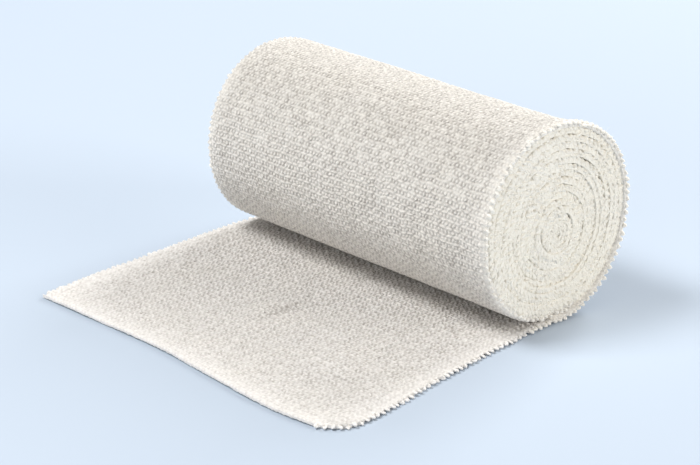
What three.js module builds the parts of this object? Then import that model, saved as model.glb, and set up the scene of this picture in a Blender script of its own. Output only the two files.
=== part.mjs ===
// A short-stretch bandage: one long strip of cotton crepe, woven with a looped selvedge on both sides.
// Most of it is wound into a roll, and its free end lies flat in front of the roll.
//
// Millimetres. +Z is up, and +Y runs along the roll's axis, away from the end face that shows.
// The free end lies towards -X. The origin is on the flat spot under the roll's axis, halfway along it.
import * as THREE from 'three';

// Driving dimensions
const ROLL_WIDTH = 97;             // selvedge to selvedge where the cloth is wound under tension
const OUTER_RADIUS = 24.3;         // from the axis to the outside of the outermost turn, at the bottom
const TURNS = 17;                  // turns from the outside to the core
const SHEET_THICKNESS = 1.35;      // the loose end, with the height of its crepe
const NODE_GAP = 0.3;              // between the wound cloth and the loose end that leaves it
const FLAT_HALF_ANGLE = 10;        // degrees of the outermost turn pressed flat on each side of the bottom
const CORE_SHIFT = { x: 1.1, z: -2.4 };  // the core sags away from the middle of the rim
const OUT_OF_ROUND = { height: 0.18, lumps: 3, phase: 1 };  // the rim isn't quite a circle
const RIM_FLARE = 1.5;             // the near selvedge of the outermost turn stands out this far at the top
const FAR_TUCK = 0.6;              // and the far one draws in this far at the sides
const RIM_LEDGE = 0.7;             // the inner turns lie this far behind the outermost one
const RIM_ROUNDING = 0.5;          // the outermost turn's edge is rounded off by this much
const CORE_DIMPLE = 2.2;           // depth of the small hole at the core
const GROOVE = 0.3;                // depth between two turns that touch
const GROOVE_PER_OPENING = 1.6;    // extra depth for each millimetre that two turns part
const STEPS_PER_TURN = 36;
const CREAM = 0xe9e6dc;

// The turns don't lie level at the ends: slow waves, in millimetres and in radians for each turn.
const LEVEL_WAVES = [
  { height: 0.3, pace: 1.9, phase: 0.6 },
  { height: 0.2, pace: 0.7, phase: 2 },
];

// Where the pressed turns part: how many turns in from the outside, the direction seen from the near end in
// degrees from +X towards +Z, half the length of the arc in degrees, and the opening.
const GAPS = [
  { turn: 1, towards: 165, halfArc: 70, open: 0.2 },
  { turn: 2, towards: 5, halfArc: 80, open: 0.4 },
  { turn: 3, towards: 220, halfArc: 35, open: 0.2 },
  { turn: 4, towards: -10, halfArc: 60, open: 0.4 },
  { turn: 5, towards: 30, halfArc: 50, open: 0.5 },
  { turn: 5, towards: 245, halfArc: 35, open: 0.2 },
  { turn: 6, towards: 160, halfArc: 35, open: 0.25 },
  { turn: 7, towards: 222, halfArc: 35, open: 0.4 },
  { turn: 9, towards: 215, halfArc: 50, open: 0.45 },
  { turn: 10, towards: -5, halfArc: 50, open: 0.3 },
  { turn: 12, towards: 200, halfArc: 75, open: 0.5 },
  { turn: 13, towards: 30, halfArc: 50, open: 0.35 },
];

// Rings along the barrel: the distance from the near selvedge, and the share of the flare and the tuck there.
const BARREL_RINGS = [
  { y: 1.6, flare: 0.75, tuck: 0 },
  { y: 4, flare: 0.3, tuck: 0 },
  { y: 9, flare: 0, tuck: 0 },
  { y: 35, flare: -0.08, tuck: 0 },
  { y: 62, flare: 0.08, tuck: 0 },
  { y: 90, flare: 0, tuck: 0 },
  { y: 94.5, flare: 0, tuck: 0.25 },
];

// The loose end's selvedges: where each lies, measured from halfway along the roll, from the roll to the cut.
const SELVEDGES = [
  { x: 0, near: -48.1, far: 49.9 },
  { x: -25, near: -50.4, far: 49.0 },
  { x: -45, near: -53.3, far: 47.7 },
  { x: -62, near: -56.2, far: 46.8 },
  { x: -80, near: -57.4, far: 44.6 },
];

// The cut end: how far out it lies at each share of the width, from the near selvedge to the far one.
const CUT_END = [
  { across: 0, x: -75.2 },
  { across: 0.1, x: -77.2 },
  { across: 0.19, x: -77.8 },
  { across: 0.36, x: -76.9 },
  { across: 0.58, x: -75.3 },
  { across: 0.82, x: -75.9 },
  { across: 1, x: -76.4 },
];
const CORNER_RADIUS = 6.5;         // the near corner of the cut end is worn round
const CORNER_STEPS = 4;

// Soft swells where the loose end isn't quite flat, with a shallow crease left between them.
const SWELLS = [
  { x: -52, y: 20, reachX: 19, reachY: 17, height: 0.55 },
  { x: -50, y: -25, reachX: 20, reachY: 18, height: 0.6 },
  { x: -27, y: 16, reachX: 9, reachY: 15, height: 0.35 },
];
const SHEET_COLUMNS = 14;          // across the strip, besides those of the round corner
const SHEET_ROWS = 15;             // along the strip
const HALVINGS = 30;               // steps to find a place on a curve

const degrees = Math.PI / 180;
const stepAngle = 2 * Math.PI / STEPS_PER_TURN;
const flatSteps = Math.round(FLAT_HALF_ANGLE * degrees / stepAngle);
const axisHeight = OUTER_RADIUS * Math.cos(flatSteps * stepAngle);
const splitStep = -2 * flatSteps;  // the roll's solid takes the cloth on the floor back to here
const splitX = axisHeight * Math.tan(splitStep * stepAngle);
const nearY = -ROLL_WIDTH / 2;
const farY = ROLL_WIDTH / 2;

// A smooth hump of height 1 and half-width w.
function hump(x, w) {
  return Math.abs(x) < w ? Math.cos(Math.PI * x / (2 * w)) ** 2 : 0;
}

// Turns are counted from the outside, and start at the bottom of the roll.
function gapPlace(gap) {
  return gap.turn + (gap.towards + 90) / 360;
}

// How far two turns part at this place of the winding.
function openingAt(turn) {
  let sum = 0;
  for (const gap of GAPS) {
    sum += gap.open * hump(turn - gapPlace(gap), gap.halfArc / 360);
  }
  return sum;
}

// How far the gaps outside this place push the cloth inwards. The other turns share the room evenly.
function pushedIn(turn) {
  let sum = 0;
  for (const gap of GAPS) {
    const away = turn - gapPlace(gap);
    const whole = Math.round(away);
    const isInside = whole >= 0 ? 1 : 0;
    sum += gap.open * hump(away - whole, gap.halfArc / 360) * (isInside - turn / TURNS);
  }
  return sum;
}

// How freely the rim may leave the round: nothing on the floor, all of it at the top.
function freedom(angle) {
  const floorEdge = Math.cos(splitStep * stepAngle);
  return Math.max(0, (Math.sin(angle) + floorEdge) / (1 + floorEdge));
}

// The outermost turn's radius, flat at the bottom.
function rimRadius(angle) {
  const fromBottom = Math.abs(angle + Math.PI / 2);
  const flat = fromBottom < Math.PI / 4 ? axisHeight / Math.cos(fromBottom) : OUTER_RADIUS;
  const lump = Math.sin(OUT_OF_ROUND.lumps * angle + OUT_OF_ROUND.phase);
  return Math.min(OUTER_RADIUS, flat) + OUT_OF_ROUND.height * lump * freedom(angle);
}

// A point of the winding's outer side, in the plane across the axis.
function woundPoint(step, stand = 0) {
  if (step <= flatSteps) {
    return new THREE.Vector2(axisHeight * Math.tan(step * stepAngle), 0);
  }
  const turn = step / STEPS_PER_TURN;
  const angle = (step - STEPS_PER_TURN * Math.floor(turn + 0.5)) * stepAngle - Math.PI / 2;
  const inward = turn / TURNS;
  const radius = rimRadius(angle) * (1 - inward) - pushedIn(turn) + stand;
  return new THREE.Vector2(
    CORE_SHIFT.x * inward + radius * Math.cos(angle),
    axisHeight + CORE_SHIFT.z * inward + radius * Math.sin(angle),
  );
}

// How far behind the rim a turn's edge lies at the ends of the roll. The outermost one is level.
function ledgeAt(turn) {
  let ledge = RIM_LEDGE * Math.min(1, Math.max(0, turn));
  for (const wave of LEVEL_WAVES) {
    ledge += wave.height * Math.sin(wave.pace * turn + wave.phase) * Math.min(1, Math.max(0, turn) / 2);
  }
  return ledge;
}

// Collects shared points and the triangles between them.
class Skin {
  constructor() {
    this.points = [];
    this.triangles = [];
  }

  point(x, y, z) {
    this.points.push(x, y, z);
    return this.points.length / 3 - 1;
  }

  triangle(a, b, c) {
    if (a !== b && b !== c && c !== a) this.triangles.push(a, b, c);
  }

  quad(a, b, c, d, isTurned = false) {
    if (isTurned) [b, d] = [d, b];
    this.triangle(a, b, c);
    this.triangle(a, c, d);
  }

  mesh(name) {
    const geometry = new THREE.BufferGeometry();
    geometry.setAttribute('position', new THREE.Float32BufferAttribute(this.points, 3));
    geometry.setIndex(this.triangles);
    geometry.computeVertexNormals();
    const material = new THREE.MeshStandardMaterial({ color: CREAM, roughness: 0.95, metalness: 0 });
    const mesh = new THREE.Mesh(geometry, material);
    mesh.name = name;
    return mesh;
  }
}

// One end of the roll: a groove line between the turns and a ridge line along the middle of each.
// Returns the face's border: the outermost turn once round, and the middle of its edge where it is split.
function addEndFace(skin, isNear) {
  const lastStep = (TURNS - 1) * STEPS_PER_TURN;
  const oneTurnIn = splitStep + STEPS_PER_TURN;
  const depthTo = (depth) => (isNear ? nearY + depth : farY - depth);
  const coreDepth = RIM_LEDGE + CORE_DIMPLE;
  const core = skin.point(CORE_SHIFT.x, depthTo(coreDepth), axisHeight + CORE_SHIFT.z);
  const grooves = new Map();
  const ridges = new Map();
  for (let step = splitStep; step <= lastStep; step += 1) {
    const turn = step / STEPS_PER_TURN;
    const isRim = step < oneTurnIn;
    const angle = step * stepAngle - Math.PI / 2;
    const flare = isNear ? RIM_FLARE * freedom(angle) : -FAR_TUCK * freedom(angle) * Math.cos(angle) ** 2;
    const outer = woundPoint(step, isRim ? flare : 0);
    const ledge = ledgeAt(turn);
    const groove = isRim ? RIM_ROUNDING : ledge + GROOVE + GROOVE_PER_OPENING * openingAt(turn);
    grooves.set(step, skin.point(outer.x, depthTo(groove), outer.y));
    const inner = woundPoint(step + STEPS_PER_TURN);
    const middle = outer.clone().lerp(inner, 0.5);
    ridges.set(step, skin.point(middle.x, depthTo(isRim ? 0 : ledge), middle.y));
  }
  const groove = (step) => (step > lastStep ? core : grooves.get(step));
  const ridge = (step) => (step >= lastStep ? core : ridges.get(step));
  for (let step = splitStep; step < lastStep; step += 1) {
    skin.quad(groove(step), groove(step + 1), ridge(step + 1), ridge(step), !isNear);
    const inner = step + STEPS_PER_TURN;
    skin.quad(ridge(step), ridge(step + 1), groove(inner + 1), groove(inner), !isNear);
  }
  const border = [];
  for (let step = splitStep; step <= oneTurnIn; step += 1) border.push(groove(step));
  border.push(ridge(splitStep));
  return border;
}

// One ring of the barrel, with the same points as an end face's border.
function addBarrelRing(skin, ring) {
  const y = nearY + ring.y;
  const border = [];
  for (let step = splitStep; step <= splitStep + STEPS_PER_TURN; step += 1) {
    const angle = step * stepAngle - Math.PI / 2;
    const side = FAR_TUCK * ring.tuck * Math.cos(angle) ** 2;
    const place = woundPoint(step, freedom(angle) * (RIM_FLARE * ring.flare - side));
    border.push(skin.point(place.x, y, place.y));
  }
  const start = woundPoint(splitStep);
  const middle = start.lerp(woundPoint(splitStep + STEPS_PER_TURN), 0.5);
  border.push(skin.point(middle.x, y, middle.y));
  return border;
}

function makeWoundRoll() {
  const skin = new Skin();
  const borders = [addEndFace(skin, true)];
  for (const ring of BARREL_RINGS) borders.push(addBarrelRing(skin, ring));
  borders.push(addEndFace(skin, false));
  for (let row = 0; row + 1 < borders.length; row += 1) {
    const here = borders[row];
    const next = borders[row + 1];
    for (let i = 0; i < here.length; i += 1) {
      const j = (i + 1) % here.length;
      skin.quad(here[i], next[i], next[j], here[j]);
    }
  }
  return skin.mesh('wound_roll');
}

// A smooth line through the rows of a table.
function tableCurve(rows, key, value) {
  const sorted = [...rows].sort((a, b) => a[key] - b[key]);
  const curve = new THREE.SplineCurve(sorted.map((row) => new THREE.Vector2(row[key], row[value])));
  return (at) => {
    let low = 0;
    let high = 1;
    for (let i = 0; i < HALVINGS; i += 1) {
      const middle = (low + high) / 2;
      if (curve.getPoint(middle).x < at) low = middle;
      else high = middle;
    }
    return curve.getPoint((low + high) / 2).y;
  };
}

// How far the sheet's underside stands off the surface. It lies flat under the roll and along its edges.
function sheetLift(x, y) {
  let lift = 0;
  for (const swell of SWELLS) {
    lift += swell.height * hump(x - swell.x, swell.reachX) * hump(y - swell.y, swell.reachY);
  }
  return lift;
}

// Shares of the width at which the sheet has a column: close together at the round corner.
function columnShares(cornerShare) {
  const shares = [];
  for (let i = 0; i < CORNER_STEPS; i += 1) {
    const turn = i / CORNER_STEPS * Math.PI / 2;
    shares.push(cornerShare * (1 - Math.cos(turn)));
  }
  for (let i = 0; i <= SHEET_COLUMNS; i += 1) {
    shares.push(cornerShare + (1 - cornerShare) * i / SHEET_COLUMNS);
  }
  return shares;
}

function makeLooseEnd() {
  const skin = new Skin();
  const nearEdge = tableCurve(SELVEDGES, 'x', 'near');
  const farEdge = tableCurve(SELVEDGES, 'x', 'far');
  const cutEnd = tableCurve(CUT_END, 'across', 'x');
  const startX = splitX - NODE_GAP;
  const cornerShare = CORNER_RADIUS / ROLL_WIDTH;
  const shares = columnShares(cornerShare);
  const tops = [];
  const bottoms = [];
  for (const share of shares) {
    const intoCorner = Math.max(0, 1 - share / cornerShare);
    const rounded = CORNER_RADIUS * (1 - Math.sqrt(1 - intoCorner ** 2));
    const endX = cutEnd(share) + rounded;
    const top = [];
    const bottom = [];
    for (let row = 0; row <= SHEET_ROWS; row += 1) {
      const x = startX + (endX - startX) * row / SHEET_ROWS;
      const y = nearEdge(x) + (farEdge(x) - nearEdge(x)) * share;
      const z = sheetLift(x, y);
      top.push(skin.point(x, y, z + SHEET_THICKNESS));
      bottom.push(skin.point(x, y, z));
    }
    tops.push(top);
    bottoms.push(bottom);
  }
  const last = shares.length - 1;
  for (let column = 0; column < last; column += 1) {
    for (let row = 0; row < SHEET_ROWS; row += 1) {
      const a = tops[column];
      const b = tops[column + 1];
      skin.quad(a[row], b[row], b[row + 1], a[row + 1]);
      const c = bottoms[column];
      const d = bottoms[column + 1];
      skin.quad(c[row], c[row + 1], d[row + 1], d[row]);
    }
    skin.quad(bottoms[column][0], bottoms[column + 1][0], tops[column + 1][0], tops[column][0]);
    const end = SHEET_ROWS;
    skin.quad(bottoms[column][end], tops[column][end], tops[column + 1][end], bottoms[column + 1][end]);
  }
  for (let row = 0; row < SHEET_ROWS; row += 1) {
    skin.quad(bottoms[0][row], tops[0][row], tops[0][row + 1], bottoms[0][row + 1]);
    skin.quad(bottoms[last][row], bottoms[last][row + 1], tops[last][row + 1], tops[last][row]);
  }
  return skin.mesh('loose_end');
}

const bandage = new THREE.Group();
bandage.add(makeWoundRoll(), makeLooseEnd());

export default bandage;
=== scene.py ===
# %% [markdown]
# # A short-stretch bandage, wound into a roll
# The bandage is one long strip of cotton crepe. Its warp is spun from hard-twisted yarn, which shrinks
# after weaving and leaves the cloth springy, thick and full of small bumps. Both sides have a selvedge,
# where each pick turns back round the outermost warp end in a small loop. Most of the strip is wound into
# a roll, and the free end lies flat in front of it.
#
# A cloth simulation could drape the free end, but not wind a roll this tightly. So the script builds the
# strip by rule: a winding line with a thickness, on which the weave is laid thread by thread.

# %% Load the part
import math

import bpy
import numpy as np
from mathutils import Matrix, Vector


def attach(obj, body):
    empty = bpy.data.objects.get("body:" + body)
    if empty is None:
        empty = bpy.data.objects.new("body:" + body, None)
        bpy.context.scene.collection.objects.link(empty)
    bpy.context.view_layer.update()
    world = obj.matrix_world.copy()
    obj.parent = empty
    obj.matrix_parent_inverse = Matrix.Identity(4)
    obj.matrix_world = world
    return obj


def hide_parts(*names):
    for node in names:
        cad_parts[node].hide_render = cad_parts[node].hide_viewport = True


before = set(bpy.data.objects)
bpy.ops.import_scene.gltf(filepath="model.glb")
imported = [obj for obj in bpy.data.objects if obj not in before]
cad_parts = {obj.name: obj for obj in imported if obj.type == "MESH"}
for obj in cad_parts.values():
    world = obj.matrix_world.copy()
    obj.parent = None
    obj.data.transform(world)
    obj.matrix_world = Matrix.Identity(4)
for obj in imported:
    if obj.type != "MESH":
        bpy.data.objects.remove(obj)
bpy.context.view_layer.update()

# %% [markdown]
# ## Sizes
# All lengths are in millimetres until a mesh is made. Seen from the near end, the roll is wound
# anticlockwise and inwards from the bottom, so the underside of the free end becomes the outside of the
# roll. Turns are counted from the outside and start at the bottom of the roll. The weave is counted in
# threads: ends run along the strip and picks run across it.

# %% Driving sizes
ROLL_WIDTH = 97.0
OUTER_RADIUS = 24.3
TURNS = 17
WOUND_TO = 16.0                  # the last turn leaves the small hole at the core
FLAT_TURN = 1 / 36               # the bottom is pressed flat this far round on each side
SPLIT_TURN = -2 * FLAT_TURN      # the free end leaves the roll here
AXIS_HEIGHT = OUTER_RADIUS * math.cos(2 * math.pi * FLAT_TURN)
SPLIT_X = AXIS_HEIGHT * math.tan(2 * math.pi * SPLIT_TURN)

PICK = 0.84                      # from one weft thread to the next
ENDS = 88                        # warp ends across the strip
LOOSE_PICKS = 82                 # in the free end
HIDDEN_PICKS = 8                 # more of it, under the roll
OUTER_PICKS = 188                # in the outermost turn, and a little of the next
LOOSE_THICKNESS = 1.32
WOUND_THICKNESS = 1.26           # pressed by the winding
START_S = -LOOSE_PICKS * PICK
print(f"axis {AXIS_HEIGHT:.1f} mm above the floor, free end {-START_S:.1f} mm long")

# %% [markdown]
# ## The winding line
# A roll wound by hand isn't a perfect spiral. It is pressed flat where it stands, its core sags, its rim
# is a little out of round, and here and there two turns part. One formula carries all of that, in the
# plane across the axis. A drawn curve would do as well, but the formula keeps the turns from crossing.

# %% The formula of the winding
CORE_SHIFT = (1.1, -2.4)         # the core sags from the middle of the rim
OUT_OF_ROUND = 0.18
PARTING_PUSH = 1.3               # a parting pushes the turns inside it further in than it opens

# How many turns in, towards which direction in degrees, half the arc in degrees, and the opening.
PARTINGS = [
    (1, 165, 70, 0.2), (2, 5, 80, 0.4), (3, 220, 35, 0.2), (4, -10, 60, 0.4), (5, 30, 50, 0.5),
    (5, 245, 35, 0.2), (6, 160, 35, 0.25), (7, 222, 35, 0.4), (9, 215, 50, 0.45), (10, -5, 50, 0.3),
    (12, 200, 75, 0.5), (13, 30, 50, 0.35),
]


def hump(x, half_width):
    """A smooth hump of height 1."""
    return np.where(np.abs(x) < half_width, np.cos(np.pi * x / (2 * half_width)) ** 2, 0.0)


def pushed_in(turn):
    """How far the partings outside this place push the cloth inwards."""
    total_push = np.zeros_like(turn)
    for turn_in, towards, half_arc, opening in PARTINGS:
        away = turn - (turn_in + (towards + 90) / 360)
        whole = np.round(away)
        share = (whole >= 0) - turn / TURNS
        total_push += PARTING_PUSH * opening * hump(away - whole, half_arc / 360) * share
    return total_push


def direction_of(turn):
    """The angle round the axis, from +X towards +Z."""
    return 2 * np.pi * (turn - np.floor(turn + 0.5)) - np.pi / 2


def freedom(turn):
    """How freely the rim may leave the round: nothing on the floor, all of it at the top."""
    floor_edge = math.cos(2 * math.pi * SPLIT_TURN)
    return np.maximum(0, (np.sin(direction_of(turn)) + floor_edge) / (1 + floor_edge))


def wound_line(turn):
    """x and z of the winding's outer side."""
    angle = direction_of(turn)
    from_bottom = np.abs(angle + np.pi / 2)
    floor_radius = AXIS_HEIGHT / np.cos(np.minimum(from_bottom, 1.0))
    pressed = np.where(from_bottom < np.pi / 4, floor_radius, OUTER_RADIUS)
    rim = np.minimum(OUTER_RADIUS, pressed) + OUT_OF_ROUND * np.sin(3 * angle + 1) * freedom(turn)
    radius = rim * (1 - turn / TURNS) - pushed_in(turn)
    x = CORE_SHIFT[0] * turn / TURNS + radius * np.cos(angle)
    z = AXIS_HEIGHT + CORE_SHIFT[1] * turn / TURNS + radius * np.sin(angle)
    on_floor = turn <= FLAT_TURN
    flat_x = AXIS_HEIGHT * np.tan(2 * np.pi * np.clip(turn, SPLIT_TURN, FLAT_TURN))
    return np.where(on_floor, flat_x, x), np.where(on_floor, 0.0, z)


top_height = wound_line(np.array([0.5]))[1][0]
print(f"{len(PARTINGS)} partings, top of the roll {top_height:.1f} mm above the floor")

# %% [markdown]
# ## Measuring the line
# The threads keep their spacing whatever the curve does, so the weave has to be laid on by length. The
# line is worked out very finely and measured with a tape, as it were. Everything later looks places up in
# these tables.

# %% The line, measured along its length
LINE_STEP = 0.1
LOOSE_REACH = 90                 # the straight part goes a little past the cut
LINE_POINTS = 16000              # in the wound part

straight_x = np.arange(SPLIT_X - LOOSE_REACH, SPLIT_X, LINE_STEP)
wound_turns = np.linspace(SPLIT_TURN, WOUND_TO, LINE_POINTS)
wound_x, wound_z = wound_line(wound_turns)
LINE_X = np.concatenate([straight_x, wound_x])
LINE_Z = np.concatenate([np.zeros_like(straight_x), wound_z])
LINE_TURN = np.concatenate([np.full_like(straight_x, SPLIT_TURN), wound_turns])
steps = np.hypot(np.diff(LINE_X), np.diff(LINE_Z))
LINE_S = np.concatenate([[0], np.cumsum(steps)])
LINE_S -= LINE_S[len(straight_x)]          # lengths are counted from where the free end leaves the roll
slope_x, slope_z = np.gradient(LINE_X, LINE_S), np.gradient(LINE_Z, LINE_S)
slope = np.hypot(slope_x, slope_z)
INWARD_X, INWARD_Z = -slope_z / slope, slope_x / slope
WOUND_PICKS = int(LINE_S[-1] / PICK) // 4 * 4
print(f"wound length {LINE_S[-1]:.0f} mm, {LOOSE_PICKS + WOUND_PICKS} picks in all")

# %% [markdown]
# ## The selvedges
# The free end is relaxed and gets slightly wider towards its cut, and it lies askew to the roll. In the
# roll each turn ends a little deeper or shallower than its neighbour, because nobody winds a bandage
# quite level. A few measured places are joined by a smooth line, which is blurred where the free end runs
# on into the roll.

# %% The two edges of the strip
NEAR_EDGE = [(0, -48.1), (-25, -50.4), (-45, -53.3), (-62, -56.2), (-80, -57.4)]     # x and y
FAR_EDGE = [(0, 49.9), (-25, 49.0), (-45, 47.7), (-62, 46.8), (-80, 44.6)]
RIM_LEDGE = 0.7                  # the inner turns lie this far behind the outermost one
LEDGE_WAVES = [(0.15, 1.9, 0.6), (0.25, 0.7, 2)]       # height, radians for each turn, and start
EDGE_STEP = 0.25
EDGE_BLUR = 24                   # steps


def smooth_through(points, at):
    """A smooth line through a few measured points."""
    xs, ys = np.array(sorted(points), float).T
    slopes = np.gradient(ys, xs)
    i = np.clip(np.searchsorted(xs, at) - 1, 0, len(xs) - 2)
    gap = xs[i + 1] - xs[i]
    u = np.clip((at - xs[i]) / gap, 0, 1)
    rise = ys[i + 1] - ys[i]
    bend = u * (1 - u) * gap * ((1 - u) * (slopes[i] - rise / gap) - u * (slopes[i + 1] - rise / gap))
    return ys[i] + rise * u + bend


def ledge_at(turn):
    """How far a turn's selvedges lie behind the rim's."""
    inside = np.clip(turn, 0, 1) * RIM_LEDGE
    waves = sum(height * np.sin(rate * turn + start) for height, rate, start in LEDGE_WAVES)
    return inside + waves * np.clip(turn / 2, 0, 1)


def blurred(values, reach):
    """A finely sampled line without its kinks."""
    kernel = np.hanning(2 * reach + 1)
    padded = np.pad(values, reach, mode="edge")
    return np.convolve(padded, kernel / kernel.sum(), mode="valid")


edge_s = np.arange(LINE_S[0], LINE_S[-1], EDGE_STEP)
edge_x = np.interp(edge_s, LINE_S, LINE_X)
edge_ledge = ledge_at(np.interp(edge_s, LINE_S, LINE_TURN))
loose_near, loose_far = smooth_through(NEAR_EDGE, edge_x), smooth_through(FAR_EDGE, edge_x)
EDGE_NEAR = blurred(np.where(edge_s < 0, loose_near, edge_ledge - ROLL_WIDTH / 2), EDGE_BLUR)
EDGE_FAR = blurred(np.where(edge_s < 0, loose_far, ROLL_WIDTH / 2 - edge_ledge), EDGE_BLUR)
print(f"free end {EDGE_FAR[0] - EDGE_NEAR[0]:.1f} mm wide at the cut")

# %% [markdown]
# ## From the strip to space
# A place on the strip is a length along it, a distance across it and a height through its thickness.
# These helpers turn that into a point. The near rim of the outer turns flares, the far one is drawn in,
# and the free end has a few soft swells where it doesn't touch the table. The last swell listed is a
# hollow: the crease that is left from an old fold.

# %% Bending the strip
RIM_FLARE = 1.5                  # the near selvedge of the outer turn stands out at the top
FAR_TUCK = 0.6                   # and the far one draws in at the sides
FLARED_TURNS = 13                # each turn further in flares a little less
FLARE_SHAPE = [(0, 1), (1.6, 0.75), (4, 0.3), (9, 0), (35, -0.08), (62, 0.08), (90, 0)]
TUCK_SHAPE = [(0, 1), (2.5, 0.25), (7, 0)]             # distance from the selvedge, and share
SELVEDGE_SWELL = 0.65            # so that the turns touch at the ends of the roll
SWELL_REACH = 2.0                # it fades over this distance from the selvedge
SWELL_FROM, SWELL_OVER = 15, 30  # it begins at this length along and is full after this much more
THICKNESS_SHAPE = [(-10, LOOSE_THICKNESS), (10, WOUND_THICKNESS)]      # length along, and thickness
SWELLS = [                       # x, y, the reach along both, and the lift
    (-52, 20, 19, 17, 0.6), (-50, -25, 20, 18, 0.7), (-27, 16, 9, 15, 0.35),
    (-44, 0, 15, 10, 1.1), (-39.5, -2.2, 7, 1.6, -0.75),
]


def shaped(shape, at):
    """A bent line through a few places."""
    places, shares = zip(*shape)
    return np.interp(at, places, shares)


def edges_at(s):
    return np.interp(s, edge_s, EDGE_NEAR), np.interp(s, edge_s, EDGE_FAR)


def strip_point(s, y, height):
    """The point at this length along, this y, and this height from the outer side."""
    turn = np.interp(s, LINE_S, LINE_TURN)
    x = np.interp(s, LINE_S, LINE_X)
    z = np.interp(s, LINE_S, LINE_Z)
    near, far = edges_at(s)
    loosening = np.clip(1 - turn / FLARED_TURNS, 0, 1) * freedom(turn)
    flare = shaped(FLARE_SHAPE, y - near)
    tuck = shaped(TUCK_SHAPE, far - y) * np.cos(direction_of(turn)) ** 2
    inward = height - loosening * (RIM_FLARE * flare - FAR_TUCK * tuck)
    for swell_x, swell_y, reach_x, reach_y, lift in SWELLS:
        inward = inward + lift * hump(x - swell_x, reach_x) * hump(y - swell_y, reach_y) * (s < 0)
    nx = np.interp(s, LINE_S, INWARD_X)
    nz = np.interp(s, LINE_S, INWARD_Z)
    return np.stack([x + nx * inward, y, z + nz * inward], -1)


def thickness_at(s, by_edge):
    """The cloth's thickness. Where it is wound, the loops make it thicker beside the selvedges."""
    swollen = np.clip((s - SWELL_FROM) / SWELL_OVER, 0, 1) * np.exp(-by_edge / SWELL_REACH)
    return shaped(THICKNESS_SHAPE, s) + SELVEDGE_SWELL * swollen


middle_x, middle_y = SWELLS[3][:2]
swell_top = strip_point(np.array([middle_x - SPLIT_X]), np.array([middle_y]), LOOSE_THICKNESS)[0]
print("top of the middle swell, in mm:", swell_top.round(1))

# %% [markdown]
# ## The weave
# Wherever an end crosses a pick the cloth is thick, and between four crossings there is a pore. In plain
# weave each end goes over one pick and under the next, so of the crossings every second one stands
# higher, like the dark squares of a chessboard. The weft is spun in two ways by turns, so every second
# pick stands out more. Single threads could be modelled, but there are over a hundred thousand crossings,
# and a few cosines give the same bumps. Crepe isn't regular: no two bumps are alike, and the cloth
# puckers softly over a few millimetres. Near the selvedges the picks bunch into ribs, one for each loop.

# %% Bumps and pores
CROSSING = 0.20                  # height of a crossing above the pores
OVER = 0.13                      # and of an end that goes over above one that goes under
SECOND = 0.12                    # and of every second pick above the one beside it
RELAXED = 0.7                    # share of these heights that is left on the free end
UNEVEN_FINE = 0.6                # how much one bump differs from the next
UNEVEN_BROAD = 0.3               # and one area from the next
HOOPS = 0.10                     # soft hoops round the roll, from the tension of the winding
PUCKER = 0.10                    # height of the crepe's soft puckers
BROAD_PUCKER = 0.8               # share of the broader ones
FLATTER, FLATTER_REACH = 0.3, 4  # the puckers are flatter beside a selvedge: share left, and reach
GRAIN = 0.12                     # roughness of the yarn
RIB = 0.30                       # height of the ribs beside a selvedge
RIB_REACH = 6.0

# The outermost ends make a narrow band with a groove beside it: height, place and half width.
BANDS = [(0.06, 0.4, 0.8), (-0.12, 1.35, 0.55)]

# How far apart the random hills are in both directions, and their seed.
FINE_HILLS, BROAD_HILLS, GRAIN_HILLS = (1.3, 1.6, 11), (9, 7, 12), (0.45, 0.55, 15)
PUCKER_HILLS, BROAD_PUCKER_HILLS = (3.1, 4.6, 13), (7.5, 5.2, 14)
HOOP_HILLS = (4.5, 90, 17)
HILL_TABLE = 512                 # so many hills in both directions before they repeat


def soft_noise(a, b, size_a, size_b, seed):
    """Smooth random hills between -1 and 1, this far apart in the two directions."""
    table = np.random.default_rng(seed).uniform(-1, 1, (HILL_TABLE, HILL_TABLE))
    p, q = a / size_a, b / size_b
    i, j = np.floor(p).astype(int), np.floor(q).astype(int)
    u, v = p - i, q - j
    u, v = u * u * (3 - 2 * u), v * v * (3 - 2 * v)
    i, i_next, j, j_next = (k % HILL_TABLE for k in (i, i + 1, j, j + 1))
    low = table[i, j] * (1 - u) + table[i_next, j] * u
    high = table[i, j_next] * (1 - u) + table[i_next, j_next] * u
    return low * (1 - v) + high * v


def relief(end, pick, by_edge, inner):
    """Height of one face of the cloth above its smooth surface."""
    s, across = START_S + pick * PICK, end * ROLL_WIDTH / ENDS
    face = 1 if inner else -1
    fine = UNEVEN_FINE * soft_noise(s, across, *FINE_HILLS)
    uneven = 1 + fine + UNEVEN_BROAD * soft_noise(s, across, *BROAD_HILLS)
    crossing = CROSSING * (np.cos(2 * np.pi * end) + np.cos(2 * np.pi * pick)) / 2
    over = OVER * np.cos(np.pi * end) * np.cos(np.pi * pick) * face
    woven = uneven * (crossing + over + SECOND * np.cos(2 * np.pi * end) * np.cos(np.pi * pick))
    woven = woven * np.where(s < 0, RELAXED, 1)
    hoops = HOOPS * soft_noise(across, s, *HOOP_HILLS) * (s > 0)
    broad_hills = BROAD_PUCKER * soft_noise(s, across, *BROAD_PUCKER_HILLS)
    pucker = PUCKER * (soft_noise(s, across, *PUCKER_HILLS) + broad_hills) * face
    grain = GRAIN * soft_noise(s, across, *GRAIN_HILLS)
    ribs = RIB * np.cos(np.pi * pick) * np.clip(1 - by_edge / RIB_REACH, 0, 1) ** 1.5
    band = sum(height * hump(by_edge - place, half_width) for height, place, half_width in BANDS)
    soft = (pucker + hoops) * np.clip(by_edge / FLATTER_REACH, FLATTER, 1)
    return woven + soft + grain + ribs + band


sample_ends, sample_picks = np.meshgrid(np.arange(20, 24, 0.1), np.arange(200, 204, 0.1))
sample = relief(sample_ends, sample_picks, 30.0, False)
print(f"bumps between {sample.min():.2f} and {sample.max():.2f} mm on the roll")

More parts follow.
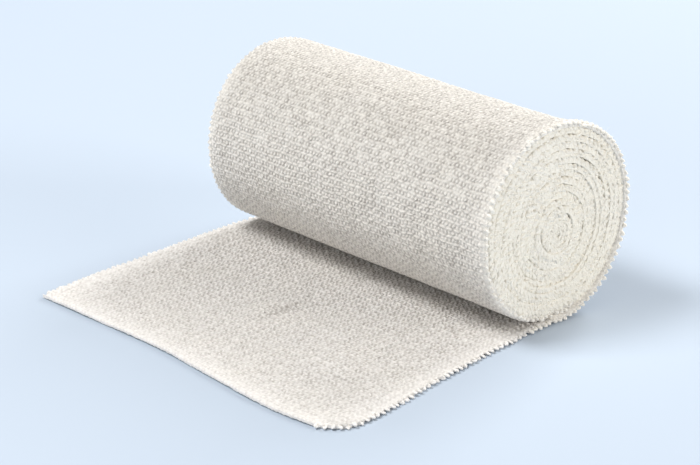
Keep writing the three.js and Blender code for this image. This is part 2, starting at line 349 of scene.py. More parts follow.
# %% [markdown]
# ## The cut, the worn corner and the pores
# The cut follows the weave and bows gently, with a few threads standing out, and its near corner is worn
# round. A corner could be trimmed off the mesh, but real threads bend round it and stay whole, so the
# grid of threads is pushed in smoothly there. The pores are closed beside the edges, where the weave is
# dense, which also paints the free end lighter beside its edges. Along the crease they are opened wider,
# which is painted shade for the fold. The material reads how open they are, and so how much painted shade
# they get, from an attribute of the mesh.

# %% The edges of the grid
CUT_END = [(0, -75.2), (0.1, -77.2), (0.19, -77.8), (0.36, -76.9), (0.58, -75.3), (0.82, -75.9), (1, -76.4)]
FRAYED = 0.10                    # how far single threads stand out of the cut
FRAYED_HILLS, TOOTH_HILLS = (0.8, 1, 21), (1.1, 1, 33)
CORNER_RADIUS = 6.5
TOOTH, TOOTH_UNEVEN = 0.22, 0.16
TOOTH_DEPTH = 1.6                # the teeth fade over this distance from the selvedge
CREASE = (-43, -2.6, 11, 2.6)    # x, y and the reach along both
# painted shade along the crease, as pores opened wider
CREASE_SHADE = 0.45
DENSE_AND_LIT = 0.55                     # how far the pores are closed at an edge, which also paints the edge lighter
DENSE_AND_LIT_BY_CUT = 9.0               # and how wide that dense, lighter strip is at the cut
DENSE_AND_LIT_BY_SELVEDGE = [(-10, 12), (10, 5)]               # length along, and how wide the dense, lighter strip is there
OPEN_AND_SHADE_SHAPE = [(0, 0.75), (50, 1)]                      # distance from the cut, and how open; less painted pore shade makes the free end lighter towards its cut


def cut_at(end):
    """x of the cut at this warp end."""
    return smooth_through(CUT_END, end / ENDS) + FRAYED * soft_noise(end, end * 0, *FRAYED_HILLS)


def worn_corner(along, across):
    """How far, along and across, the worn corner moves a place at this distance from cut and selvedge."""
    def side(distance):
        angle = math.pi / 4 * (1 - np.clip(distance / CORNER_RADIUS, 0, 1))
        inside = distance < CORNER_RADIUS
        return inside * (CORNER_RADIUS * (1 - np.sin(angle)) - distance), CORNER_RADIUS * (1 - np.cos(angle))

    def fade(distance):
        return np.clip(1 - distance / (2 * CORNER_RADIUS), 0, 1) ** 2

    tip = side(np.zeros(1))[0]
    slide_along, in_across = side(along)
    slide_across, in_along = side(across)
    both_fade = fade(along) * fade(across)
    return (slide_along * fade(across) + in_along * fade(along) - tip * both_fade,
            in_across * fade(across) + slide_across * fade(along) - tip * both_fade)


def teeth(end, pick, by_edge):
    """How far the picks stand out past the selvedge, by turns."""
    tooth = TOOTH * np.cos(np.pi * pick) + TOOTH_UNEVEN * soft_noise(pick, end * 0, *TOOTH_HILLS)
    return np.where(end < ENDS / 2, -1, 1) * tooth * np.clip(1 - by_edge / TOOTH_DEPTH, 0, 1)


def openness_at(s, by_edge, from_cut, points):
    """How open the pores are at these places, which sets their painted shade; the crease gets more."""
    # painted light as well as dense weave: the pores close beside the edges, so the cloth is lighter there
    dense_and_lit_width = shaped(DENSE_AND_LIT_BY_SELVEDGE, s)
    from_border = np.clip(np.minimum(by_edge / dense_and_lit_width, from_cut / DENSE_AND_LIT_BY_CUT), 0, 1)
    openness = (1 - DENSE_AND_LIT * (1 - from_border) ** 2) * shaped(OPEN_AND_SHADE_SHAPE, from_cut)
    # painted shade: the crease's pores are opened wider, so the fold reads darker
    x, y, reach_x, reach_y = CREASE
    crease_shade = hump(points[..., 0] - x, reach_x) * hump(points[..., 1] - y, reach_y) * (s < 0)
    return openness + CREASE_SHADE * crease_shade


corner_move = worn_corner(np.zeros(1), np.zeros(1))
print(f"the corner is worn back {np.hypot(*corner_move)[0]:.1f} mm")

# %% [markdown]
# ## Laying the cloth
# One face of the strip is a grid of points, a row for each place along and a column for each place
# across. Each point starts from its thread counts, wanders a little as real threads do, and gets its
# height from half the thickness and the bumps. Towards its edges the cloth is rounded off, because
# threads are round.

# %% One face of the strip
SKIN = 0.18                      # the bumps reach this far out from half the thickness
WANDER = 0.28                    # how far the threads stray
PICK_HILLS, END_HILLS = (4.5, 2.2, 31), (2.4, 5.0, 32)
ROUND_SELVEDGE, ROUND_CUT = 0.6, 0.5                   # the edges are rounded over this distance
BLUNT, BLUNTER = 0.45, 0.08      # share of the thickness at the very edge, and more inside the roll
BLUNTER_FROM, BLUNTER_OVER = 100, 40
FOLLOW = 34                      # the rows close up behind the bowed cut over this distance


def lay_cloth(ends, picks, inner):
    """Points of one face on a grid of picks by ends, their thread counts, and how open the pores are, which
    sets their painted shade.
    """
    pick, end = np.meshgrid(picks, ends, indexing="ij")
    share = end / ENDS
    s = START_S + pick * PICK
    cut_s = cut_at(end) - SPLIT_X
    s = s + (cut_s - START_S) * np.clip(1 - (s - START_S) / FOLLOW, 0, 1) ** 2
    near, far = edges_at(s)
    width = far - near
    by_edge = np.minimum(share, 1 - share) * width
    from_cut = np.maximum(0, s - cut_s)
    move_along, move_across = worn_corner(from_cut, share * width)
    wander_s = WANDER * soft_noise(pick, end, *PICK_HILLS) * np.clip(from_cut / 4, 0, 1)
    wander_y = WANDER * soft_noise(pick, end, *END_HILLS) * np.clip(by_edge, 0, 3) / 3
    y = near + width * share + wander_y + teeth(end, pick, by_edge) + move_across
    rounding = np.minimum(np.clip(by_edge / ROUND_SELVEDGE, 0, 1), np.clip(from_cut / ROUND_CUT, 0, 1))
    blunt = BLUNT + BLUNTER * np.clip((s - BLUNTER_FROM) / BLUNTER_OVER, 0, 1)
    full = blunt + (1 - blunt) * np.sqrt(1 - (1 - rounding) ** 2)
    thickness = thickness_at(s, by_edge)
    half = (thickness / 2 - SKIN + relief(end, pick, by_edge, inner)) * full
    height = thickness / 2 + (half if inner else -half)
    points = strip_point(s + wander_s + move_along, y, np.maximum(height, 0.01))
    threads = np.stack([end + (0 if inner else 1), pick], -1)
    return points, threads, openness_at(s, by_edge, from_cut, points)


cut_points, _, cut_openness = lay_cloth(np.linspace(0, ENDS, 5), np.array([0.0]), True)
print("x along the cut, in mm:", cut_points[0, :, 0].round(1), "openness:", cut_openness[0].round(2))

# %% [markdown]
# ## Sewing two faces into one cloth
# The face that shows is built finely, with two rows of points for each thread. Inside the roll the other
# face is hidden and gets fewer points. Walls with many corners join the fine border to the coarse one, so
# the cloth is a closed body. A plane with a Solidify modifier would be closed too, but it would copy the
# fine bumps to the hidden side, where they cost points and show nothing.

# %% Making a closed cloth
MM = 0.001


def make_mesh(name, points, faces, corner_values, smooth, **tones):
    """A mesh in metres, with the thread counts as its UV map and its tones as attributes."""
    mesh = bpy.data.meshes.new(name)
    mesh.from_pydata((points * MM).tolist(), [], faces)
    threads = mesh.uv_layers.new(name="threads")
    threads.data.foreach_set("uv", np.asarray(corner_values, np.float32).ravel())
    mesh.polygons.foreach_set("use_smooth", smooth)
    for tone, value in tones.items():
        values = np.broadcast_to(np.asarray(value, np.float32), len(points))
        mesh.attributes.new(tone, "FLOAT", "POINT").data.foreach_set("value", np.ascontiguousarray(values))
    mesh.update()
    piece = bpy.data.objects.new(name, mesh)
    bpy.context.scene.collection.objects.link(piece)
    triangles = sum(len(p.vertices) - 2 for p in mesh.polygons)
    print(f"{name}: {len(points)} points, {triangles} triangles")
    return piece


def grid_quads(index):
    a, b = index[:-1, :-1].ravel(), index[1:, :-1].ravel()
    c, d = index[1:, 1:].ravel(), index[:-1, 1:].ravel()
    return np.stack([a, b, c, d], -1)


def border_walls(fine, coarse, skip):
    """Faces between a fine border and a coarse one that runs beside it."""
    walls = []
    for i in range(len(coarse) - 1):
        run = fine[i * skip:(i + 1) * skip + 1]
        walls.append([*run.tolist(), int(coarse[i + 1]), int(coarse[i])])
    return walls


def make_cloth(name, ends, picks, inner_shows, skip_ends, skip_picks, warmth, open_weave_and_shade):
    """A closed strip of cloth. The face that doesn't show skips some of the rows and columns."""
    shown, shown_threads, shown_open_and_shade = lay_cloth(ends, picks, inner_shows)
    hidden, hidden_threads, hidden_open_and_shade = lay_cloth(ends[::skip_ends], picks[::skip_picks], not inner_shows)
    fine = np.arange(shown[..., 0].size).reshape(shown.shape[:2])
    coarse = fine.size + np.arange(hidden[..., 0].size).reshape(hidden.shape[:2])
    faces = grid_quads(fine).tolist() + grid_quads(coarse)[:, ::-1].tolist()
    face_count = len(faces)
    faces += border_walls(fine[::-1, 0], coarse[::-1, 0], skip_picks)
    faces += border_walls(fine[:, -1], coarse[:, -1], skip_picks)
    faces += border_walls(fine[0], coarse[0], skip_ends)
    faces += border_walls(fine[-1, ::-1], coarse[-1, ::-1], skip_ends)
    if not inner_shows:
        faces = [face[::-1] for face in faces]
    points = np.concatenate([shown.reshape(-1, 3), hidden.reshape(-1, 3)])
    threads = np.concatenate([shown_threads.reshape(-1, 2), hidden_threads.reshape(-1, 2)])
    # how open the pores are, which scales their painted shade
    openness = open_weave_and_shade * np.concatenate([shown_open_and_shade.ravel(), hidden_open_and_shade.ravel()])
    corners = np.concatenate([np.array(face) for face in faces])
    smooth = np.arange(len(faces)) < face_count
    return make_mesh(name, points, faces, threads[corners], smooth, warmth=warmth, openness=openness)


print("one metre is", 1 / MM, "of the units above")

# %% [markdown]
# ## The strip, in three stretches
# The free end shows both its faces at the corner. The outermost turn shows its outer side. Of the turns
# inside only the selvedges show, so there the points stand close together beside the selvedges and far
# apart between them. The stretches meet where the roll stands on the free end, and inside the roll.

# %% Free end, outermost turn and inner turns
split_pick = LOOSE_PICKS + HIDDEN_PICKS
inner_pick = split_pick + OUTER_PICKS
last_pick = LOOSE_PICKS + WOUND_PICKS
all_ends = np.linspace(0, ENDS, 2 * ENDS + 1)
edge_ends = np.array([0, 0.5, 1, 1.5, 2, 3, 5, 12, 30])
inner_ends = np.concatenate([edge_ends, (ENDS - edge_ends)[::-1]])


def half_picks(first, last):
    """Two rows for each pick, both ends included."""
    return np.arange(first, last + 0.1, 0.5)


loose_cloth = make_cloth(
    "loose_end_cloth", all_ends, half_picks(0, split_pick), inner_shows=True,
    skip_ends=1, skip_picks=1, warmth=0.0, open_weave_and_shade=1.0)
outer_cloth = make_cloth(
    "outer_turn_cloth", all_ends, half_picks(split_pick, inner_pick), inner_shows=False,
    skip_ends=4, skip_picks=4, warmth=0.5, open_weave_and_shade=1.0)
inner_cloth = make_cloth(
    "inner_turns_cloth", inner_ends, half_picks(inner_pick, last_pick), inner_shows=False,
    skip_ends=1, skip_picks=4, warmth=1.0, open_weave_and_shade=0.2)

# %% [markdown]
# ## Tubes of yarn
# The selvedge loops and the stray fibres are both thin tubes along short paths. Blender's curves with a
# bevel would do for a few, but there are thousands, so all the tubes of a piece are worked out at once: a
# ring of points round every place on every path.

# %% Rings and the faces between them
def yarn_tubes(paths, radii, across, sides):
    """Rings of points along many short paths at once. across is a direction square to each path."""
    along = np.gradient(paths, axis=1)
    along /= np.linalg.norm(along, axis=-1, keepdims=True)
    side = np.cross(along, across)
    side /= np.linalg.norm(side, axis=-1, keepdims=True)
    other = np.cross(side, along)
    turn = 2 * np.pi * np.arange(sides) / sides
    ring = np.cos(turn)[:, None] * side[..., None, :] + np.sin(turn)[:, None] * other[..., None, :]
    return (paths[..., None, :] + radii[..., None, None] * ring).reshape(-1, 3)


def tube_faces(count, length, sides):
    """Faces, and for each of their corners the place along and around the yarn."""
    faces, corners = [], []
    for tube in range(count):
        base = tube * length * sides
        for i in range(length - 1):
            for j in range(sides):
                k = (j + 1) % sides
                a = base + i * sides
                faces.append([a + j, a + k, a + sides + k, a + sides + j])
                left, right = j / sides, (j + 1) / sides
                corners += [(i, left), (i, right), (i + 1, right), (i + 1, left)]
        for i, order in ((0, -1), (length - 1, 1)):
            faces.append([base + i * sides + j for j in range(sides)][::order])
            corners += [(i, 0)] * sides
    return faces, corners


print("a tube of 5 rings and 5 sides has", len(tube_faces(1, 5, 5)[0]), "faces")

# %% [markdown]
# ## Where the loops stand
# Each pick leaves the cloth, turns round and comes back as the next one, so there is a loop for every two
# picks. A loop needs its foot and three directions: along the selvedge, outwards, and through the cloth.
# Along the roll they come from the winding line. Round the worn corner they come from the cloth's own
# border.

# %% Feet and directions
FAR_SINK = 0.25                  # on the far side the feet stand a little inside the cloth
WORN_SHARE = 0.065               # share of the cut that the worn corner takes
AHEAD = 0.8                      # the border's direction is taken between places this far to both sides
BORDER_BLUR = 3                  # points


def unit(vectors):
    return vectors / np.linalg.norm(vectors, axis=-1, keepdims=True)


def selvedge_frames(pick, is_near):
    """Foot and directions of the loops at these picks."""
    s = START_S + pick * PICK
    near, far = edges_at(s)
    y = near if is_near else far - FAR_SINK
    middle = thickness_at(s, 0.0) / 2
    foot = strip_point(s, y, middle)
    along = unit(strip_point(s + 0.3, y, middle) - foot)
    out = np.zeros_like(foot)
    out[:, 1] = -1 if is_near else 1
    return foot, along, out, np.cross(along, [0.0, -1.0, 0.0])


near_cut_ends = np.linspace(0, WORN_SHARE * ENDS, 40)
cut_border = lay_cloth(near_cut_ends, np.array([0.0]), True)[0][0]
near_border = lay_cloth(np.array([0.0]), np.arange(0.5, LOOSE_PICKS, 0.5), True)[0][:, 0]
loose_border = np.concatenate([cut_border[::-1], near_border])
loose_border[:, 2] -= LOOSE_THICKNESS / 4


def corner_frames(spacing):
    """The same round the worn corner and along the near selvedge of the free end."""
    border = np.stack([blurred(loose_border[:, k], BORDER_BLUR) for k in range(3)], -1)
    length = np.concatenate([[0], np.cumsum(np.linalg.norm(np.diff(border, axis=0), axis=-1))])
    at = np.arange(length[-1] % spacing, length[-1], spacing)

    def border_at(places):
        return np.stack([np.interp(places, length, border[:, k]) for k in range(3)], -1)

    along = border_at(at + AHEAD) - border_at(at - AHEAD)
    along[:, 2] = 0
    along = unit(along)
    up = np.tile([0.0, 0.0, 1.0], (len(at), 1))
    return border_at(at), along, np.cross(along, up), up


print(len(corner_frames(2 * PICK)[0]), "loops round the corner and along the near side of the free end")

# %% [markdown]
# ## Selvedge loops
# The yarn is hard-twisted, so the loops curl, lean and snarl, no two alike. On the free end they make a
# comb of small teeth, and on the end faces of the roll they are pressed together into a nap like terry. A
# loop is a short tube of yarn along a half ellipse. Its legs start inside the cloth, one a little higher
# than the other. How far it leans is drawn at random, more so the more unruly the loops are.

# %% Making the loops
LEG_DEPTH = 0.7                  # the legs start this far inside the cloth
YARN_SIDES = 5
SLIDE, LEAN = 0.25, 0.3          # an unruly loop slides along the selvedge, and its tip leans
SCATTER = 0.75                   # it is also pushed up or down through the cloth
LEGS_APART = (0.06, 0.2)         # how far one leg stands above the other
LUMPY = 0.12                     # share by which the yarn is thicker or thinner here and there


def each(values):
    return values[:, None]


def make_loops(name, frames, spread, reach, unruly, yarn, detail, seed, warmth):
    """A loop of yarn at each of these places, its legs this far apart and its tip this far out."""
    rng = np.random.default_rng(seed)
    foot, along, out, through = (np.concatenate(part) for part in zip(*frames))
    count = len(foot)
    u = np.linspace(0, 1, detail)
    rise, swing = np.sin(np.pi * u), np.cos(np.pi * u)
    size = rng.uniform(*reach, count)
    shift = each(rng.normal(0, SLIDE * unruly, count)) - each(rng.uniform(*spread, count)) * swing
    shift = shift + each(rng.normal(0, LEAN * unruly, count)) * rise ** 2
    cross = rng.choice([-1, 1], count) * rng.uniform(*LEGS_APART, count)
    level = each(cross) * swing + each(rng.normal(0, LEAN * unruly, count)) * rise ** 2
    level = level + each(rng.uniform(-SCATTER, SCATTER, count) * unruly ** 2)
    stand = -LEG_DEPTH + each(size + LEG_DEPTH) * rise
    paths = foot[:, None] + along[:, None] * shift[..., None] + out[:, None] * stand[..., None]
    paths = paths + through[:, None] * level[..., None]
    paths[..., 2] = np.maximum(paths[..., 2], yarn[1] + 0.02)
    radii = each(rng.uniform(*yarn, count)) * (1 + LUMPY * rng.normal(size=(count, detail)).clip(-1, 1))
    points = yarn_tubes(paths, radii, np.repeat(through[:, None], detail, 1), YARN_SIDES)
    faces, corners = tube_faces(count, detail, YARN_SIDES)
    return make_mesh(name, points, faces, corners, np.ones(len(faces), bool), warmth=warmth)


BOTH_SIDES = (True, False)
loose_loops = make_loops(
    "loose_end_loops",
    [corner_frames(2 * PICK), selvedge_frames(np.arange(4.0, LOOSE_PICKS, 2), False)],
    spread=(0.22, 0.32), reach=(0.45, 0.75), unruly=0.35, yarn=(0.28, 0.34), detail=9, seed=41, warmth=0.1)
outer_loops = make_loops(
    "outer_turn_loops",
    [selvedge_frames(np.arange(LOOSE_PICKS, inner_pick, 2.0), side) for side in BOTH_SIDES],
    spread=(0.28, 0.38), reach=(0.5, 0.85), unruly=0.45, yarn=(0.32, 0.40), detail=7, seed=42, warmth=0.6)
inner_loops = make_loops(
    "inner_turns_loops",
    [selvedge_frames(np.arange(inner_pick, last_pick, 0.7), side) for side in BOTH_SIDES],
    spread=(0.24, 0.36), reach=(-0.15, 0.12), unruly=1.0, yarn=(0.40, 0.52), detail=5, seed=43, warmth=1.0)

# %% [markdown]
# ## Stray fibres
# Cotton is a short fibre, and the ends of it stand out all over the yarn. They only show against the
# light, along the selvedges and on the end faces, where they soften the loops. A hair system could grow
# them, but a few thousand thin curved tubes, each from the foot of some loop in its own direction, are
# enough.

# %% Making the fibres
FIBRE_POINTS = 4
FIBRE_SIDES = 3
FIBRE_RADIUS = 0.028
FIBRE_TIP = 0.4                  # share of the radius at its tip
FIBRE_LENGTH = (0.5, 1.3)
FIBRE_AIM = [0, 0.7, 0]          # along the selvedge, outwards and through the cloth
AIM_SPREAD, START_SPREAD = [0.8, 0.25, 0.8], [0.8, 0.3, 0.8]
FIBRE_CURL = 0.35
LOWEST_FIBRE = 0.08              # above the floor


def make_fibres(name, frames, count, seed, warmth):
    """Thin curved hairs that stand out from the selvedges."""
    rng = np.random.default_rng(seed)
    foot, along, out, through = (np.concatenate(part) for part in zip(*frames))
    chosen = rng.integers(0, len(foot), count)
    axes = np.stack([along[chosen], out[chosen], through[chosen]], 1)
    aim = unit(rng.normal(0, 1, (count, 3)) * AIM_SPREAD + FIBRE_AIM)
    curl = rng.normal(0, FIBRE_CURL, (count, 3))
    start = rng.uniform(-0.5, 0.5, (count, 3)) * START_SPREAD
    length = rng.uniform(*FIBRE_LENGTH, count)[:, None, None]
    u = np.linspace(0, 1, FIBRE_POINTS)[None, :, None]
    local = start[:, None] + length * (aim[:, None] * u + curl[:, None] * u ** 2)
    paths = foot[chosen][:, None] + np.einsum("npk,nkc->npc", local, axes)
    paths[..., 2] = np.maximum(paths[..., 2], LOWEST_FIBRE)
    radii = np.full((count, FIBRE_POINTS), FIBRE_RADIUS) * np.linspace(1, FIBRE_TIP, FIBRE_POINTS)
    across = np.repeat(np.cross(aim, [0.3, 0.5, 0.81])[:, None], FIBRE_POINTS, 1)
    points = yarn_tubes(paths, radii, across, FIBRE_SIDES)
    faces, corners = tube_faces(count, FIBRE_POINTS, FIBRE_SIDES)
    return make_mesh(name, points, faces, corners, np.ones(len(faces), bool), warmth=warmth)


loose_frames = [corner_frames(PICK), selvedge_frames(np.arange(4.0, LOOSE_PICKS), False)]
roll_frames = [selvedge_frames(np.arange(LOOSE_PICKS, last_pick, 1.0), side) for side in BOTH_SIDES]
fibres = make_fibres("stray_fibres", loose_frames + roll_frames, count=5000, seed=51, warmth=0.6)

# %% [markdown]
# ## Shader helpers
# Both finishes are made of nodes. Writing every node out would hide what they do, so these helpers add
# one node each and link or set its inputs. A value that is linked comes from another node, and a number
# is set.

# %% Adding nodes
def new_group(name, inputs, outputs):
    """An empty node group with named sockets."""
    group = bpy.data.node_groups.new(name, "ShaderNodeTree")
    for socket, kind, default in inputs:
        made = group.interface.new_socket(socket, in_out="INPUT", socket_type=kind)
        if default is not None:
            made.default_value = default
    for socket, kind in outputs:
        group.interface.new_socket(socket, in_out="OUTPUT", socket_type=kind)
    return group, group.nodes.new("NodeGroupInput"), group.nodes.new("NodeGroupOutput")


def feed(tree, socket, value):
    """Links another node's output to a socket, or sets a number or colour on it."""
    if isinstance(value, (int, float, tuple)):
        socket.default_value = value
    else:
        tree.links.new(value, socket)


def maths(tree, operation, *values):
    node = tree.nodes.new("ShaderNodeMath")
    node.operation = operation
    for socket, value in zip(node.inputs, values):
        feed(tree, socket, value)
    return node.outputs[0]


def product(tree, first, *others):
    for other in others:
        first = maths(tree, "MULTIPLY", first, other)
    return first


def total(tree, first, *others):
    for other in others:
        first = maths(tree, "ADD", first, other)
    return first


def noise(tree, vector, scale, detail):
    node = tree.nodes.new("ShaderNodeTexNoise")
    node.inputs["Scale"].default_value = scale
    node.inputs["Detail"].default_value = detail
    tree.links.new(vector, node.inputs["Vector"])
    return node.outputs["Fac"]


def mix_colours(tree, share, first, second):
    node = tree.nodes.new("ShaderNodeMix")
    node.data_type = "RGBA"
    for socket, value in zip((node.inputs[0], node.inputs[6], node.inputs[7]), (share, first, second)):
        feed(tree, socket, value)
    return node.outputs[2]


def split_vector(tree, vector):
    node = tree.nodes.new("ShaderNodeSeparateXYZ")
    tree.links.new(vector, node.inputs[0])
    return node.outputs[0], node.outputs[1]


print("node groups before the finishes:", len(bpy.data.node_groups))

# %% [markdown]
# ## Crossings, as a node group
# The mesh carries the thread counts as its UV map, so the material knows where the threads cross. The
# group finds the hollows between the threads with the same three cosines as the relief of the mesh: every
# crossing, the chessboard of over and under, and every second pick. Noise lets the threads stray from
# their counts.

# %% Node group: Crossings
def crossings_group():
    group, given, result = new_group(
        "Crossings",
        [("Threads", "NodeSocketVector", None), ("Wander", "NodeSocketFloat", 0.25),
         ("Chess", "NodeSocketFloat", 0.4), ("Second", "NodeSocketFloat", 0.4),
         ("Every", "NodeSocketFloat", 0.4)],
        [("Hollow", "NodeSocketFloat")])
    threads = given.outputs["Threads"]
    end_count, pick_count = split_vector(group, threads)
    stray = maths(group, "SUBTRACT", noise(group, threads, 0.6, 2.0), 0.5)
    astray = product(group, stray, given.outputs["Wander"])
    end = product(group, total(group, end_count, astray), math.pi)
    pick = product(group, maths(group, "SUBTRACT", pick_count, astray), math.pi)
    by_end, by_pick = (maths(group, "COSINE", angle) for angle in (end, pick))
    each_end, each_pick = (maths(group, "COSINE", product(group, angle, 2)) for angle in (end, pick))
    chess = product(group, by_end, by_pick, given.outputs["Chess"])
    second = product(group, each_end, by_pick, given.outputs["Second"])
    every = product(group, total(group, each_end, each_pick), given.outputs["Every"])
    raised = total(group, chess, second, product(group, every, 0.5))
    hollow = product(group, maths(group, "SUBTRACT", 1, raised), 0.5)
    group.links.new(maths(group, "MAXIMUM", hollow, 0), result.inputs["Hollow"])
    return group


CROSSINGS = crossings_group()
print(CROSSINGS.name, "has", len(CROSSINGS.nodes), "nodes")

# %% [markdown]
# ## Yarn twist, as a node group
# A twisted yarn shows fine slanting lines. A sine of the place along and around the yarn draws them. On
# the cloth, where the threads are only bumps, the thread counts serve as those two places.

# %% Node group: Yarn twist
def twist_group():
    group, given, result = new_group(
        "Yarn twist",
        [("Threads", "NodeSocketVector", None), ("Along", "NodeSocketFloat", 3.0),
         ("Around", "NodeSocketFloat", 2.0)],
        [("Height", "NodeSocketFloat")])
    first_count, second_count = split_vector(group, given.outputs["Threads"])
    along = product(group, first_count, given.outputs["Along"])
    around = product(group, second_count, given.outputs["Around"])
    height = maths(group, "SINE", product(group, total(group, along, around), 2 * math.pi))
    group.links.new(height, result.inputs["Height"])
    return group


TWIST = twist_group()
print(TWIST.name, "has", len(TWIST.nodes), "nodes")

# %% [markdown]
# ## Cream cotton, as a node group
# Unbleached cotton is a white that leans to cream, a little uneven from yarn to yarn, and warmer where
# many layers show their loops. The hollows of the weave are mixed towards a grey-brown shade, since light
# that goes in there comes back weak and warm.

# %% Node group: Cream cotton
CLEAN = (0.885, 0.855, 0.822, 1)
CREAM_WHITE = (0.893, 0.840, 0.725, 1)
# painted shade: the hollows of the weave are mixed towards this colour
SHADE = (0.42, 0.38, 0.34, 1)
PATCHES = 55.0                   # scale of the uneven patches


def cream_group():
    group, given, result = new_group(
        "Cream cotton",
        [("Place", "NodeSocketVector", None), ("Depth", "NodeSocketFloat", 0.0),
         ("Warmth", "NodeSocketFloat", 0.0)],
        [("Colour", "NodeSocketColor")])
    patchy = noise(group, given.outputs["Place"], PATCHES, 3.0)
    patches = product(group, maths(group, "SUBTRACT", patchy, 0.4), 0.5)
    warm = total(group, product(group, given.outputs["Warmth"], 0.75), patches)
    share = maths(group, "MAXIMUM", maths(group, "MINIMUM", warm, 1.0), 0.0)
    tone = mix_colours(group, share, CLEAN, CREAM_WHITE)
    # painted shade: the colour is mixed towards SHADE in the hollows
    group.links.new(mix_colours(group, given.outputs["Depth"], tone, SHADE), result.inputs["Colour"])
    return group


CREAM = cream_group()
print(CREAM.name, "has", len(CREAM.nodes), "nodes")

# %% [markdown]
# ## What the two finishes share
# Cotton is matt, with hardly any shine and a faint sheen where the surface turns away. Both finishes
# start from the same Principled BSDF, read the thread counts and the place in the object, and end in a
# bump.

# %% A start for cotton
def group_node(tree, group, **values):
    node = tree.nodes.new("ShaderNodeGroup")
    node.node_tree = group
    for socket, value in values.items():
        feed(tree, node.inputs[socket], value)
    return node.outputs[0]


def read_tone(tree, name):
    node = tree.nodes.new("ShaderNodeAttribute")
    node.attribute_name = name
    return node.outputs["Fac"]


def start_cotton(name):
    """A matt cotton material with its Principled BSDF, ready for a colour and a bump."""
    material = bpy.data.materials.new(name)
    material.use_nodes = True
    tree = material.node_tree
    surface = tree.nodes["Principled BSDF"]
    surface.inputs["Roughness"].default_value = 0.95
    surface.inputs["Specular IOR Level"].default_value = 0.15
    surface.inputs["Sheen Weight"].default_value = 0.4
    surface.inputs["Sheen Roughness"].default_value = 0.6
    threads = tree.nodes.new("ShaderNodeUVMap")
    threads.uv_map = "threads"
    place = tree.nodes.new("ShaderNodeTexCoord")
    return material, tree, surface, threads.outputs[0], place.outputs["Object"], read_tone(tree, "warmth")


def add_bump(tree, surface, height, distance, strength):
    bump = tree.nodes.new("ShaderNodeBump")
    bump.inputs["Distance"].default_value = distance
    bump.inputs["Strength"].default_value = strength
    tree.links.new(height, bump.inputs["Height"])
    tree.links.new(bump.outputs["Normal"], surface.inputs["Normal"])


print("data on the cloth:", sorted(loose_cloth.data.attributes.keys()))

# %% [markdown]
# ## The crepe
# The mesh has only two points for each thread, which smooth shading would flatten. So the material draws
# the hollows again, sharper than the mesh can: as painted shade in the colour and as height in the bump.
# Both are uneven, and both fade where the weave is closed, which also paints the free end lighter beside
# its edges, and both grow along the crease, as its painted shade.

# %% Finish: crepe
CREPE_BUMP = 0.00035             # metres
FLECKS, FLUFF = 700.0, 2600.0    # scales of the noise in the hollows and of the fluff
FLECK_LEVEL, FLECK_GAIN = 0.12, 2.3                    # how that noise is cut off and stretched
TWIST_SHARE, FLUFF_SHARE = 0.08, 0.6                   # of the bump


def make_crepe():
    material, tree, surface, threads, place, warmth = start_cotton("cotton_crepe")
    # how open the pores are; it also carries the painted shade along the crease and the lighter edges
    openness = read_tone(tree, "openness")
    hollow = group_node(tree, CROSSINGS, Threads=threads, Wander=0.5, Chess=0.45, Second=0.55, Every=0.6)
    twist = group_node(tree, TWIST, Threads=threads, Along=3.0, Around=2.5)
    uneven = product(tree, maths(tree, "SUBTRACT", noise(tree, place, FLECKS, 2.0), FLECK_LEVEL), FLECK_GAIN)
    # painted shade in the hollows of the weave, uneven and scaled by how open the pores are
    hollow_shade = product(tree, hollow, uneven, openness)
    colour = group_node(tree, CREAM, Place=place, Depth=hollow_shade, Warmth=warmth)
    tree.links.new(colour, surface.inputs["Base Color"])
    bump_size = total(tree, product(tree, uneven, 0.6), 0.6)
    crown = product(tree, maths(tree, "SUBTRACT", 1, hollow), bump_size)
    raised = product(tree, total(tree, product(tree, twist, TWIST_SHARE), crown), openness)
    fluff = product(tree, noise(tree, place, FLUFF, 3.0), FLUFF_SHARE)
    add_bump(tree, surface, total(tree, fluff, raised), CREPE_BUMP, 1.0)
    return material


crepe = make_crepe()
for piece in (loose_cloth, outer_cloth, inner_cloth):
    piece.data.materials.append(crepe)
print(crepe.name, "has", len(crepe.node_tree.nodes), "nodes")

# %% [markdown]
# ## The yarn of the loops
# The loops are the same yarn, seen closer. Their tubes already have a shape, so they need only the twist
# and the fluff. A little light goes through the thin yarn and comes out beside, which keeps their shadows
# soft.

# %% Finish: selvedge yarn
YARN_BUMP = 0.0001               # metres
YARN_FLUFF = 3000.0              # scale of its noise
YARN_GLOW = 0.0014               # how far light goes through the yarn, in metres


def make_loop_yarn():
    material, tree, surface, threads, place, warmth = start_cotton("selvedge_yarn")
    surface.inputs["Subsurface Weight"].default_value = 0.2
    surface.inputs["Subsurface Radius"].default_value = (1.0, 0.97, 0.94)
    surface.inputs["Subsurface Scale"].default_value = YARN_GLOW
    twist = group_node(tree, TWIST, Threads=threads, Along=0.5, Around=2.0)
    colour = group_node(tree, CREAM, Place=place, Depth=0.0, Warmth=warmth)
    tree.links.new(colour, surface.inputs["Base Color"])
    fluff = noise(tree, place, YARN_FLUFF, 3.0)
    add_bump(tree, surface, total(tree, product(tree, twist, 0.4), fluff), YARN_BUMP, 0.35)
    return material


loop_yarn = make_loop_yarn()
for piece in (loose_loops, outer_loops, inner_loops, fibres):
    piece.data.materials.append(loop_yarn)
print(loop_yarn.name, "has", len(loop_yarn.node_tree.nodes), "nodes")

# %% [markdown]
# ## Joining the looks to the part
# Every piece rides on the part's one body. The three stretches of cloth stand for the two CAD nodes,
# which are hidden.

# %% Bodies, and the CAD nodes hidden
for piece in (loose_cloth, outer_cloth, inner_cloth, loose_loops, outer_loops, inner_loops, fibres):
    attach(piece, "root")
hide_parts("loose_end")
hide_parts("wound_roll")
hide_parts("wound_roll")

